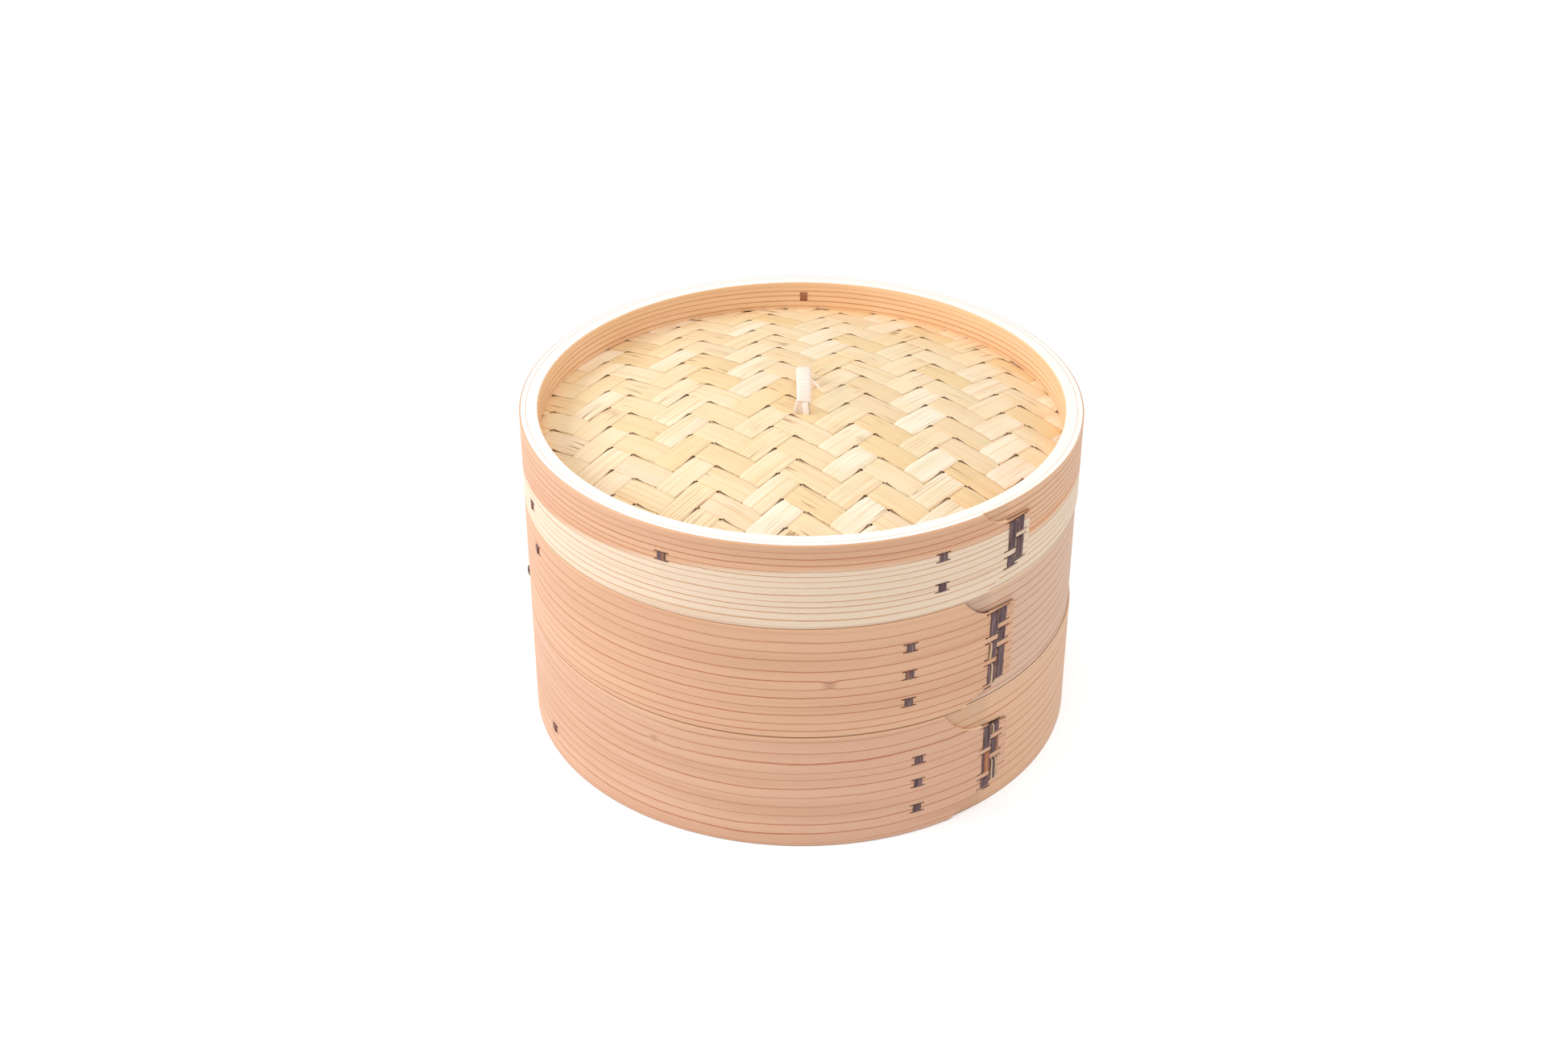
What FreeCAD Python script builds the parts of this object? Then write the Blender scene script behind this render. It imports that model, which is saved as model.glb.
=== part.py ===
import FreeCAD, Part

import math
import os

# Two-tier bamboo steamer basket with its lid, in millimetres.
# The origin is the centre of the bottom rim and +Z points up. Angles are in degrees about +Z,
# 0 along +X and -90 towards the front. Each tier is a bent outer hoop round two inner hoops that
# clamp a slatted floor between them. The upper inner hoop stands proud as a spigot for the socket
# of the tier or lid above. The lid clamps a woven dome in the same way.

OUTER_RADIUS = 127.0
SOCKET_RADIUS = 124.0
SPIGOT_RADIUS = 123.5
CLAMPED_EDGE_RADIUS = 123.8
TIER_BORE_RADIUS = 119.2
LID_BORE_RADIUS = 118.7
HOOP_BEVEL = 0.35
SEAM_BEVEL = 0.1

LOWER_HEIGHT = 59.2
UPPER_HEIGHT = 56.0
LID_HEIGHT = 40.8
SPIGOT_RISE = 8.0
SPIGOT_SHOULDER = 0.8
SOCKET_DEPTH = 9.7

# Floor of a tier, with heights above the tier's foot.
SLAT_SEAT = 20.0
SLAT_THICKNESS = 2.0
SLAT_WIDTH = 9.0
SLAT_PITCH = 12.2
SLAT_COUNT = 19
SLAT_BEVEL = 0.5
CROSSBAR_OFFSET = 45.0
CROSSBAR_WIDTH = 12.0
CROSSBAR_DEPTH = 7.0
CROSSBAR_BEVEL = 1.2
PIN_RADIUS = 0.9
PIN_DEPTH = 5.0
PIN_HEAD = 0.3

# Woven dome of the lid: three layers of one sphere, and two bowed ribs under them.
DOME_RADIUS = 490.0
CROWN = LOWER_HEIGHT + UPPER_HEIGHT + LID_HEIGHT + 0.3
WEAVE_THICKNESS = 1.6
LEAF_THICKNESS = 0.5
RIB_WIDTH = 10.0
RIB_THICKNESS = 2.0
RIB_END_RADIUS = 121.5

# Loop handle: a closed cane loop round the crossing of the ribs.
LOOP_CENTRE_X = 0.9
LOOP_HALF_SPAN = 16.0
LOOP_TOP = CROWN + 11.4
LOOP_SPRING = CROWN + 0.6
LOOP_THICKNESS = 1.3
LOOP_WIDTH = 5.4
LOOP_SLACK = 0.2
WRAP_THICKNESS = 0.5
WRAP_FOOT = CROWN + 0.5

# Lap of an outer hoop: the under ply runs a ply lower than the tongue and comes out to the full
# radius past the lap, so its face is a cylinder set off centre.
LAP_DIRECTION = 120.0
LAP_VIEW_ANGLE = -48.0

# Bast lacing and stitches, standing a little proud of the hoops.
STRIP_PROUD = 0.8
STRIP_LEG = 0.8
SLIT_HEIGHT = 0.7
SLIT_DEPTH = 2.2
COLUMN_WIDTH = 4.5
STITCH_WIDTH = 3.4
STITCH_SLIT_WIDTH = 7.0
COLUMN_SLIT_WIDTH = 9.4

# Each lap: how far its under ply's face is off centre and the angle where it meets the full radius,
# the tongue's outline as (angle, height above the foot), and the lacing as (angle, low, high).
LOWER_LAP = {
    "ply_shift": 4.08,
    "fade_angle": -10.0,
    "top_start": -61.5,
    "top_bend": (-57.5, 44.6),
    "top_shoulder": (-51.5, 44.4),
    "tip_top": (-44.5, 41.8),
    "tip_bottom": (-44.5, 16.4),
    "bottom_shoulder": (-51.2, 8.2),
    "bottom_bend": (-54.6, 6.6),
    "bottom_start": -59.2,
    "lacing": [
        (-50.3, 31.2, 43.8),
        (-50.3, 17.6, 29.2),
        (-50.3, 9.4, 15.4),
        (-48.0, 37.6, 43.4),
        (-48.0, 26.6, 35.2),
        (-48.0, 11.6, 24.2),
    ],
    "spare_slit": (-50.0, 7.2),
}
UPPER_LAP = {
    "ply_shift": 1.92,
    "fade_angle": 14.0,
    "top_start": -58.1,
    "top_bend": (-54.6, 46.2),
    "top_shoulder": (-51.6, 46.2),
    "tip_top": (-44.6, 45.4),
    "tip_bottom": (-44.6, 9.6),
    "bottom_shoulder": (-51.6, 6.2),
    "bottom_bend": (-53.8, 4.2),
    "bottom_start": -58.1,
    "lacing": [
        (-50.2, 32.4, 45.2),
        (-50.2, 20.8, 30.0),
        (-50.2, 7.4, 18.4),
        (-47.9, 37.4, 45.4),
        (-47.9, 27.7, 35.0),
        (-47.9, 8.5, 25.3),
    ],
    "spare_slit": (-51.4, 4.4),
}
LID_LAP = {
    "ply_shift": 4.08,
    "fade_angle": -10.0,
    "top_start": -54.4,
    "top_bend": (-51.6, 32.6),
    "top_shoulder": (-47.8, 32.4),
    "tip_top": (-41.3, 31.8),
    "tip_bottom": (-41.3, 8.8),
    "bottom_shoulder": (-47.4, 7.6),
    "bottom_bend": (-50.0, 5.0),
    "bottom_start": -53.3,
    "lacing": [
        (-46.5, 16.8, 31.6),
        (-46.5, 8.2, 14.4),
        (-44.2, 23.8, 31.8),
        (-44.2, 9.8, 22.0),
    ],
    "spare_slit": None,
}

# Stitches round each outer hoop as (angle, height of the middle above the foot).
LOWER_STITCHES = [(-66.9, 39.7), (-66.9, 27.2), (-66.9, 13.2), (-153.8, 12.8)]
LOWER_STITCHES += [(angle, height) for angle in (148.0, 68.0) for height in (42.0, 28.0, 14.0)]
UPPER_STITCHES = [(-69.6, 41.2), (-69.6, 27.3), (-69.6, 13.0), (-158.0, 45.8), (-172.0, 15.5)]
UPPER_STITCHES += [(angle, height) for angle in (140.0, 55.0) for height in (41.0, 27.0, 13.0)]
LID_STITCHES = [(-63.4, 26.8), (-63.4, 11.9), (-118.0, 27.0), (-160.0, 10.4)]
LID_STITCHES += [(angle, height) for angle in (152.0, 62.0, 22.0) for height in (27.0, 12.0)]
STITCH_HEIGHT = 4.6

# Inner hoops: the angle of each one's stitches, and of the seam where its strip ends.
LOWER_INNER_STITCH = 100.0
UPPER_INNER_STITCH = 78.0
LID_INNER_STITCH = 88.5
LOWER_SEAM = 106.0
UPPER_SEAM = 84.0
LID_SEAM = -75.0
INNER_STITCH_WIDTH = 3.6
INNER_STITCH_HEIGHT = 9.0
LID_INNER_STITCH_HEIGHT = 4.6
LID_INNER_STITCH_DROP = 5.4
SEAM_WIDTH = 0.6
SEAM_DEPTH = 0.9


def on_circle(radius, angle, height):
    turn = math.radians(angle)
    return FreeCAD.Vector(radius * math.cos(turn), radius * math.sin(turn), height)


def face_of(points):
    """Flat face inside a closed polygon of (x, y, z) points."""
    corners = [FreeCAD.Vector(*point) for point in points]
    return Part.Face(Part.makePolygon(corners + [corners[0]]))


def turned(profile, start_angle=0.0, sweep=360.0):
    """Solid swept about +Z from a list of (radius, height) points."""
    face = face_of([(radius, 0.0, height) for radius, height in profile])
    face.rotate(FreeCAD.Vector(0, 0, 0), FreeCAD.Vector(0, 0, 1), start_angle)
    return face.revolve(FreeCAD.Vector(0, 0, 0), FreeCAD.Vector(0, 0, 1), sweep)


def sector(inner, outer, low, high, angle, width):
    """Block with curved faces, width measured along the outer hoop's face."""
    sweep = math.degrees(width / OUTER_RADIUS)
    profile = [(inner, low), (outer, low), (outer, high), (inner, high)]
    return turned(profile, angle - sweep / 2, sweep)


def hoop(inner, outer, low, high, inner_bevel, outer_bevel):
    """Bent hoop with its edges eased, by different amounts inside and outside."""
    profile = [
        (inner + inner_bevel, low),
        (outer - outer_bevel, low),
        (outer, low + outer_bevel),
        (outer, high - outer_bevel),
        (outer - outer_bevel, high),
        (inner + inner_bevel, high),
        (inner, high - inner_bevel),
        (inner, low + inner_bevel),
    ]
    return turned(profile)


def solids_of(shape):
    """One shape that holds every solid of a boolean result."""
    found = shape.Solids
    return found[0] if len(found) == 1 else Part.makeCompound(found)


def strip_run(angle, low, high, width):
    """Bast strip on an outer hoop: a run outside and two legs through the hoop."""
    profile = [
        (SOCKET_RADIUS, low),
        (OUTER_RADIUS + STRIP_PROUD, low),
        (OUTER_RADIUS + STRIP_PROUD, high),
        (SOCKET_RADIUS, high),
        (SOCKET_RADIUS, high - STRIP_LEG),
        (OUTER_RADIUS, high - STRIP_LEG),
        (OUTER_RADIUS, low + STRIP_LEG),
        (SOCKET_RADIUS, low + STRIP_LEG),
    ]
    sweep = math.degrees(width / OUTER_RADIUS)
    return turned(profile, angle - sweep / 2, sweep)


def slit(angle, height, width):
    """Knife slit in an outer hoop, where a strip goes in."""
    low = height - SLIT_HEIGHT / 2
    return sector(OUTER_RADIUS - SLIT_DEPTH, OUTER_RADIUS + 1.0, low, low + SLIT_HEIGHT, angle, width)


def slits_of(angle, low, high, width):
    inset = SLIT_HEIGHT / 2
    return [slit(angle, low + inset, width), slit(angle, high - inset, width)]


def lap_recess(lap, foot, height):
    """Space between the full radius and the under ply, beyond the tongue's outline."""

    def point(angle, level):
        across = OUTER_RADIUS * math.sin(math.radians(angle - LAP_VIEW_ANGLE))
        return FreeCAD.Vector(across, 0, foot + level)

    def curve(start, bend, end):
        bezier = Part.BezierCurve()
        bezier.setPoles([start, bend, end])
        return bezier.toShape()

    margin = 2.0
    top_start = point(lap["top_start"], height)
    top_out = point(lap["top_start"], height + margin)
    far_angle = lap["fade_angle"] + 4.0
    top_far = point(far_angle, height + margin)
    bottom_far = point(far_angle, -margin)
    bottom_out = point(lap["bottom_start"], -margin)
    bottom_start = point(lap["bottom_start"], 0.0)
    top_shoulder = point(*lap["top_shoulder"])
    tip_top = point(*lap["tip_top"])
    tip_bottom = point(*lap["tip_bottom"])
    bottom_shoulder = point(*lap["bottom_shoulder"])
    edges = [
        Part.LineSegment(top_far, top_out).toShape(),
        Part.LineSegment(top_out, top_start).toShape(),
        curve(top_start, point(*lap["top_bend"]), top_shoulder),
        Part.LineSegment(top_shoulder, tip_top).toShape(),
        Part.LineSegment(tip_top, tip_bottom).toShape(),
        Part.LineSegment(tip_bottom, bottom_shoulder).toShape(),
        curve(bottom_shoulder, point(*lap["bottom_bend"]), bottom_start),
        Part.LineSegment(bottom_start, bottom_out).toShape(),
        Part.LineSegment(bottom_out, bottom_far).toShape(),
        Part.LineSegment(bottom_far, top_far).toShape(),
    ]
    prism = Part.Face(Part.Wire(edges)).extrude(FreeCAD.Vector(0, -OUTER_RADIUS - 10, 0))
    prism.rotate(FreeCAD.Vector(0, 0, 0), FreeCAD.Vector(0, 0, 1), LAP_VIEW_ANGLE + 90)
    fade_cosine = math.cos(math.radians(lap["fade_angle"] - LAP_DIRECTION))
    ply_radius = OUTER_RADIUS - lap["ply_shift"] * fade_cosine
    ply_centre = on_circle(lap["ply_shift"], LAP_DIRECTION, foot - 2 * margin)
    under_ply = Part.makeCylinder(ply_radius, height + 4 * margin, ply_centre)
    return prism.cut(under_ply)


def outer_hoop(lap, stitches, foot, height):
    """Outer hoop with its lap, and with a slit wherever a strip passes."""
    body = hoop(SOCKET_RADIUS, OUTER_RADIUS, foot, foot + height, SEAM_BEVEL, HOOP_BEVEL)
    body = body.cut(lap_recess(lap, foot, height))
    openings = []
    for angle, low, high in lap["lacing"]:
        openings += slits_of(angle, foot + low, foot + high, COLUMN_SLIT_WIDTH)
    if lap["spare_slit"]:
        angle, level = lap["spare_slit"]
        openings.append(slit(angle, foot + level, COLUMN_SLIT_WIDTH))
    for angle, middle in stitches:
        low = foot + middle - STITCH_HEIGHT / 2
        openings += slits_of(angle, low, low + STITCH_HEIGHT, STITCH_SLIT_WIDTH)
    return body.cut(openings + lacing_strips(lap, foot) + stitch_strips(stitches, foot))


def lacing_strips(lap, foot):
    return [strip_run(angle, foot + low, foot + high, COLUMN_WIDTH) for angle, low, high in lap["lacing"]]


def stitch_strips(stitches, foot):
    half = STITCH_HEIGHT / 2
    return [
        strip_run(angle, foot + middle - half, foot + middle + half, STITCH_WIDTH)
        for angle, middle in stitches
    ]


def inner_strip(bore_radius, angle, low, high):
    """Stitch on the inside face of an inner hoop, with legs part way into it."""
    depth = 2.2
    profile = [
        (bore_radius - STRIP_PROUD, low),
        (bore_radius + depth, low),
        (bore_radius + depth, low + STRIP_LEG),
        (bore_radius, low + STRIP_LEG),
        (bore_radius, high - STRIP_LEG),
        (bore_radius + depth, high - STRIP_LEG),
        (bore_radius + depth, high),
        (bore_radius - STRIP_PROUD, high),
    ]
    sweep = math.degrees(INNER_STITCH_WIDTH / bore_radius)
    return turned(profile, angle - sweep / 2, sweep)


def lap_seam(bore_radius, angle, low, high):
    """Groove where the end of an inner hoop's strip meets the turn below it."""
    return sector(bore_radius - 1.0, bore_radius + SEAM_DEPTH, low - 1.0, high + 1.0, angle, SEAM_WIDTH)


def slat_row(foot):
    """Floor slats, rounded off by the circle of the hoops that clamp them."""
    seat = foot + SLAT_SEAT
    rim = Part.makeCylinder(CLAMPED_EDGE_RADIUS, SLAT_THICKNESS + 2, FreeCAD.Vector(0, 0, seat - 1))
    slats = []
    for index in range(SLAT_COUNT):
        middle = (index - (SLAT_COUNT - 1) / 2) * SLAT_PITCH
        low = middle - SLAT_WIDTH / 2
        high = middle + SLAT_WIDTH / 2
        top = seat + SLAT_THICKNESS
        section = [
            (-OUTER_RADIUS, low, seat),
            (-OUTER_RADIUS, high, seat),
            (-OUTER_RADIUS, high, top - SLAT_BEVEL),
            (-OUTER_RADIUS, high - SLAT_BEVEL, top),
            (-OUTER_RADIUS, low + SLAT_BEVEL, top),
            (-OUTER_RADIUS, low, top - SLAT_BEVEL),
        ]
        slat = face_of(section).extrude(FreeCAD.Vector(2 * OUTER_RADIUS, 0, 0))
        slats.append(slat.common(rim))
    return slats


def crossbar(foot, offset):
    """Bar under the slats, along Y at x = offset, let into the support hoop."""
    top = foot + SLAT_SEAT
    bottom = top - CROSSBAR_DEPTH
    left = offset - CROSSBAR_WIDTH / 2
    right = offset + CROSSBAR_WIDTH / 2
    section = [
        (left, -OUTER_RADIUS, top),
        (right, -OUTER_RADIUS, top),
        (right, -OUTER_RADIUS, bottom + CROSSBAR_BEVEL),
        (right - CROSSBAR_BEVEL, -OUTER_RADIUS, bottom),
        (left + CROSSBAR_BEVEL, -OUTER_RADIUS, bottom),
        (left, -OUTER_RADIUS, bottom + CROSSBAR_BEVEL),
    ]
    bar = face_of(section).extrude(FreeCAD.Vector(0, 2 * OUTER_RADIUS, 0))
    rim = Part.makeCylinder(CLAMPED_EDGE_RADIUS, 2 * SLAT_SEAT, FreeCAD.Vector(0, 0, foot))
    return bar.common(rim)


def slat_pins(foot):
    """Bamboo pins that fix every slat to the two crossbars."""
    base = foot + SLAT_SEAT + SLAT_THICKNESS + PIN_HEAD - PIN_DEPTH
    pins = []
    for offset in (-CROSSBAR_OFFSET, CROSSBAR_OFFSET):
        for index in range(SLAT_COUNT):
            middle = (index - (SLAT_COUNT - 1) / 2) * SLAT_PITCH
            if math.hypot(offset, middle) < TIER_BORE_RADIUS - 2 * PIN_RADIUS:
                place = FreeCAD.Vector(offset, middle, base)
                pins.append(Part.makeCylinder(PIN_RADIUS, PIN_DEPTH, place))
    return pins


def tier(name, foot, height, lap, stitches, inner_stitch_angle, seam_angle):
    """All the pieces of one tier, by node name."""
    rim = foot + height
    seat = foot + SLAT_SEAT
    slat_top = seat + SLAT_THICKNESS
    spigot_profile = [
        (TIER_BORE_RADIUS, slat_top),
        (SOCKET_RADIUS, slat_top),
        (SOCKET_RADIUS, rim - SPIGOT_SHOULDER),
        (SPIGOT_RADIUS, rim - SPIGOT_SHOULDER + SOCKET_RADIUS - SPIGOT_RADIUS),
        (SPIGOT_RADIUS, rim + SPIGOT_RISE - HOOP_BEVEL),
        (SPIGOT_RADIUS - HOOP_BEVEL, rim + SPIGOT_RISE),
        (TIER_BORE_RADIUS + HOOP_BEVEL, rim + SPIGOT_RISE),
        (TIER_BORE_RADIUS, rim + SPIGOT_RISE - HOOP_BEVEL),
    ]
    stitch_levels = [slat_top + 7.0, slat_top + 22.0]
    inner_stitches = [
        inner_strip(TIER_BORE_RADIUS, inner_stitch_angle, level, level + INNER_STITCH_HEIGHT)
        for level in stitch_levels
    ]
    seam = lap_seam(TIER_BORE_RADIUS, seam_angle, slat_top, rim + SPIGOT_RISE)
    bars = {
        "left": crossbar(foot, -CROSSBAR_OFFSET),
        "right": crossbar(foot, CROSSBAR_OFFSET),
    }
    bottom = foot + SOCKET_DEPTH
    support = hoop(TIER_BORE_RADIUS, SOCKET_RADIUS, bottom, seat, HOOP_BEVEL, SEAM_BEVEL)
    pins = slat_pins(foot)
    pieces = {
        "outer_hoop": outer_hoop(lap, stitches, foot, height),
        "inner_hoop": turned(spigot_profile).cut(inner_stitches + [seam]),
        "support_hoop": support.cut(list(bars.values())),
        "floor_slats": Part.makeCompound([slat.cut(pins) for slat in slat_row(foot)]),
        "slat_pins": Part.makeCompound(pins),
        "lap_lacing": Part.makeCompound(lacing_strips(lap, foot)),
        "hoop_stitches": Part.makeCompound(stitch_strips(stitches, foot)),
        "inner_hoop_stitches": Part.makeCompound(inner_stitches),
    }
    for side, bar in bars.items():
        pieces["crossbar_" + side] = bar.cut(pins)
    return {name + "_" + piece: shape for piece, shape in pieces.items()}


def dome_layer(depth, thickness, edge_radius):
    """Layer of the dome, its upper face a given depth under the dome's surface."""
    centre = CROWN - DOME_RADIUS

    def arc(radius, outwards):
        edge = FreeCAD.Vector(edge_radius, 0, centre + math.sqrt(radius**2 - edge_radius**2))
        half = edge_radius / 2
        middle = FreeCAD.Vector(half, 0, centre + math.sqrt(radius**2 - half**2))
        top = FreeCAD.Vector(0, 0, centre + radius)
        ends = (top, edge) if outwards else (edge, top)
        return Part.Arc(ends[0], middle, ends[1]).toShape(), edge, top

    upper, upper_edge, upper_top = arc(DOME_RADIUS - depth, True)
    lower, lower_edge, lower_top = arc(DOME_RADIUS - depth - thickness, False)
    side = Part.LineSegment(upper_edge, lower_edge).toShape()
    axis = Part.LineSegment(lower_top, upper_top).toShape()
    face = Part.Face(Part.Wire([upper, side, lower, axis]))
    return face.revolve(FreeCAD.Vector(0, 0, 0), FreeCAD.Vector(0, 0, 1), 360)


def dome_ball(depth):
    """Ball under the dome's surface, less a given depth."""
    return Part.makeSphere(DOME_RADIUS - depth, FreeCAD.Vector(0, 0, CROWN - DOME_RADIUS))


def crown_rib(depth, turn):
    """Bowed splint across the underside of the dome."""
    layer = dome_layer(depth, RIB_THICKNESS, RIB_END_RADIUS)
    corner = FreeCAD.Vector(-OUTER_RADIUS, -RIB_WIDTH / 2, 0)
    band = Part.makeBox(2 * OUTER_RADIUS, RIB_WIDTH, CROWN + 1, corner)
    band.rotate(FreeCAD.Vector(0, 0, 0), FreeCAD.Vector(0, 0, 1), turn)
    return layer.common(band)


def loop_block(grown, width, foot):
    """Arch-shaped block across the lid, grown by an offset round the loop's centre line."""
    half = LOOP_HALF_SPAN + grown
    top = LOOP_TOP + grown
    left = LOOP_CENTRE_X - width / 2
    low_back = FreeCAD.Vector(left, half, foot - grown)
    low_front = FreeCAD.Vector(left, -half, foot - grown)
    spring_back = FreeCAD.Vector(left, half, LOOP_SPRING)
    spring_front = FreeCAD.Vector(left, -half, LOOP_SPRING)
    arch = Part.Arc(spring_front, FreeCAD.Vector(left, 0, top), spring_back).toShape()
    edges = [
        Part.LineSegment(spring_back, low_back).toShape(),
        Part.LineSegment(low_back, low_front).toShape(),
        Part.LineSegment(low_front, spring_front).toShape(),
        arch,
    ]
    return Part.Face(Part.Wire(edges)).extrude(FreeCAD.Vector(width, 0, 0))


def lid(foot):
    """All the pieces of the lid, by node name."""
    rim = foot + LID_HEIGHT
    leaf_depth = WEAVE_THICKNESS
    bottom_depth = leaf_depth + LEAF_THICKNESS
    rib_depth = bottom_depth + WEAVE_THICKNESS
    loop_foot = CROWN - rib_depth - 2 * RIB_THICKNESS - LOOP_THICKNESS / 2 - LOOP_SLACK
    core_outside = loop_block(LOOP_THICKNESS / 2, LOOP_WIDTH, loop_foot)
    core = core_outside.cut(loop_block(-LOOP_THICKNESS / 2, LOOP_WIDTH, loop_foot))
    wrap_grown = LOOP_THICKNESS / 2 + WRAP_THICKNESS
    wrap_width = LOOP_WIDTH + 2 * WRAP_THICKNESS
    wrap_outside = loop_block(wrap_grown, wrap_width, WRAP_FOOT + wrap_grown)
    wrap = wrap_outside.cut([loop_block(-wrap_grown, wrap_width, 0.0), core])
    ribs = [crown_rib(rib_depth, 45.0), crown_rib(rib_depth + RIB_THICKNESS, -45.0)]

    clamp_low = foot + SOCKET_DEPTH
    ring = hoop(LID_BORE_RADIUS, SOCKET_RADIUS, clamp_low, rim, HOOP_BEVEL, SEAM_BEVEL)
    stitch_top = rim - LID_INNER_STITCH_DROP
    stitch_low = stitch_top - LID_INNER_STITCH_HEIGHT
    inner_stitch = inner_strip(LID_BORE_RADIUS, LID_INNER_STITCH, stitch_low, stitch_top)
    seam = lap_seam(LID_BORE_RADIUS, LID_SEAM, clamp_low, rim)
    pieces = {
        "outer_hoop": outer_hoop(LID_LAP, LID_STITCHES, foot, LID_HEIGHT),
        "inner_hoop": ring.cut([dome_ball(0.0), inner_stitch, seam]),
        "support_hoop": ring.common(dome_ball(rib_depth)).cut(ribs),
        "top_weave": dome_layer(0.0, WEAVE_THICKNESS, CLAMPED_EDGE_RADIUS).cut(core),
        "leaf_liner": dome_layer(leaf_depth, LEAF_THICKNESS, CLAMPED_EDGE_RADIUS).cut(core),
        "bottom_weave": dome_layer(bottom_depth, WEAVE_THICKNESS, CLAMPED_EDGE_RADIUS).cut(core),
        "crown_rib_upper": ribs[0],
        "crown_rib_lower": ribs[1],
        "loop_core": core,
        "loop_wrap": wrap,
        "lap_lacing": Part.makeCompound(lacing_strips(LID_LAP, foot)),
        "hoop_stitches": Part.makeCompound(stitch_strips(LID_STITCHES, foot)),
        "inner_hoop_stitch": inner_stitch,
    }
    return {"lid_" + piece: shape for piece, shape in pieces.items()}


upper_foot = LOWER_HEIGHT
lid_foot = LOWER_HEIGHT + UPPER_HEIGHT
nodes = {}
lower_angles = (LOWER_INNER_STITCH, LOWER_SEAM)
upper_angles = (UPPER_INNER_STITCH, UPPER_SEAM)
nodes.update(tier("lower", 0.0, LOWER_HEIGHT, LOWER_LAP, LOWER_STITCHES, *lower_angles))
nodes.update(tier("upper", upper_foot, UPPER_HEIGHT, UPPER_LAP, UPPER_STITCHES, *upper_angles))
nodes.update(lid(lid_foot))

os.makedirs("parts", exist_ok=True)
for node, shape in nodes.items():
    made = solids_of(shape)
    if not made.isValid():
        raise SystemExit(node + " is not a valid solid")
    made.exportStep("parts/" + node + ".step")
    box = made.BoundBox
    report = "%-28s %2d solids  %9.1f mm3  z %.1f to %.1f"
    print(report % (node, len(made.Solids), made.Volume, box.ZMin, box.ZMax))
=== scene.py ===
import math
import random
from types import SimpleNamespace

import bmesh
import bpy
import numpy as np
from mathutils import Matrix, Vector, noise


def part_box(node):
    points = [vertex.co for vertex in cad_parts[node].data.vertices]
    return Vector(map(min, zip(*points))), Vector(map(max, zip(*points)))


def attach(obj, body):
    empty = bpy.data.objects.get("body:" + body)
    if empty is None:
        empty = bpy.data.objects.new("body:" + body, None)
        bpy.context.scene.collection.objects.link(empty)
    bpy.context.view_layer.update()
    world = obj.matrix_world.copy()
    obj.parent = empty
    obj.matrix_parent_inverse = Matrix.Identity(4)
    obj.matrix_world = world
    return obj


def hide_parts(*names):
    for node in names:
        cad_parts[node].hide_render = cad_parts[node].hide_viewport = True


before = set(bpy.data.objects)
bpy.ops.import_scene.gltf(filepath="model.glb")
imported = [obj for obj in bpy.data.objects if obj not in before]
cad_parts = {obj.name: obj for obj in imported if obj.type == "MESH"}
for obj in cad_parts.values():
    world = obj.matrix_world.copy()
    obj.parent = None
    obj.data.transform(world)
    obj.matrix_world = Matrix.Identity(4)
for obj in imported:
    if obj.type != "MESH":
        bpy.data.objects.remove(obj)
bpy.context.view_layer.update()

# Bamboo steamer basket. Lengths are in metres, angles in degrees about +Z unless a name says otherwise.
# The CAD hoops, bars, slats, pins and ribs are shown as they are, with new materials. The two woven
# mats, the loop's wrapping and the bast strips are built here in place of their plain CAD solids.

MM = 0.001

low_corner, high_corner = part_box("lid_outer_hoop")
OUTER_RADIUS = high_corner.x
LID_FOOT = low_corner.z
LID_RIM = high_corner.z
UPPER_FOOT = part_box("upper_outer_hoop")[0].z
LOWER_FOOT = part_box("lower_outer_hoop")[0].z
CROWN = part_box("lid_top_weave")[1].z
WEAVE_EDGE_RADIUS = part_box("lid_top_weave")[1].x
BOTTOM_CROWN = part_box("lid_bottom_weave")[1].z
DOME_RADIUS = 490 * MM
TIER_BORE_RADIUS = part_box("lower_support_hoop")[1].x - 4.8 * MM
LID_BORE_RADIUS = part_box("lid_inner_hoop")[1].x - 5.3 * MM


# ---------------------------------------------------------------- camera, light and floor

SENSOR_WIDTH = 36.0
FOCAL_LENGTH = 51.88
CAMERA_PLACE = (-18.0 * MM, -898.6 * MM, LID_RIM + 486.3 * MM)
CAMERA_PITCH = math.radians(31.61)
CAMERA_YAW = math.radians(0.655)
CAMERA_ROLL = math.radians(0.136)


def add_camera():
    data = bpy.data.cameras.new("camera")
    data.sensor_width = SENSOR_WIDTH
    data.lens = FOCAL_LENGTH
    data.clip_start = 0.01
    camera = bpy.data.objects.new("camera", data)
    bpy.context.scene.collection.objects.link(camera)
    forward = Vector((
        math.sin(CAMERA_YAW) * math.cos(CAMERA_PITCH),
        math.cos(CAMERA_YAW) * math.cos(CAMERA_PITCH),
        -math.sin(CAMERA_PITCH),
    ))
    level = Vector((math.cos(CAMERA_YAW), -math.sin(CAMERA_YAW), 0))
    upright = level.cross(forward)
    right = level * math.cos(CAMERA_ROLL) + upright * math.sin(CAMERA_ROLL)
    up = upright * math.cos(CAMERA_ROLL) - level * math.sin(CAMERA_ROLL)
    turn = Matrix((right, up, -forward)).transposed().to_4x4()
    camera.matrix_world = Matrix.Translation(Vector(CAMERA_PLACE)) @ turn
    bpy.context.scene.camera = camera


def add_area_light(name, place, aim, size, power, colour):
    data = bpy.data.lights.new(name, "AREA")
    data.shape = "RECTANGLE"
    data.size, data.size_y = size
    data.energy = power
    data.color = colour
    light = bpy.data.objects.new(name, data)
    bpy.context.scene.collection.objects.link(light)
    light.location = place
    light.rotation_euler = (Vector(aim) - Vector(place)).to_track_quat("-Z", "Y").to_euler()


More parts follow.
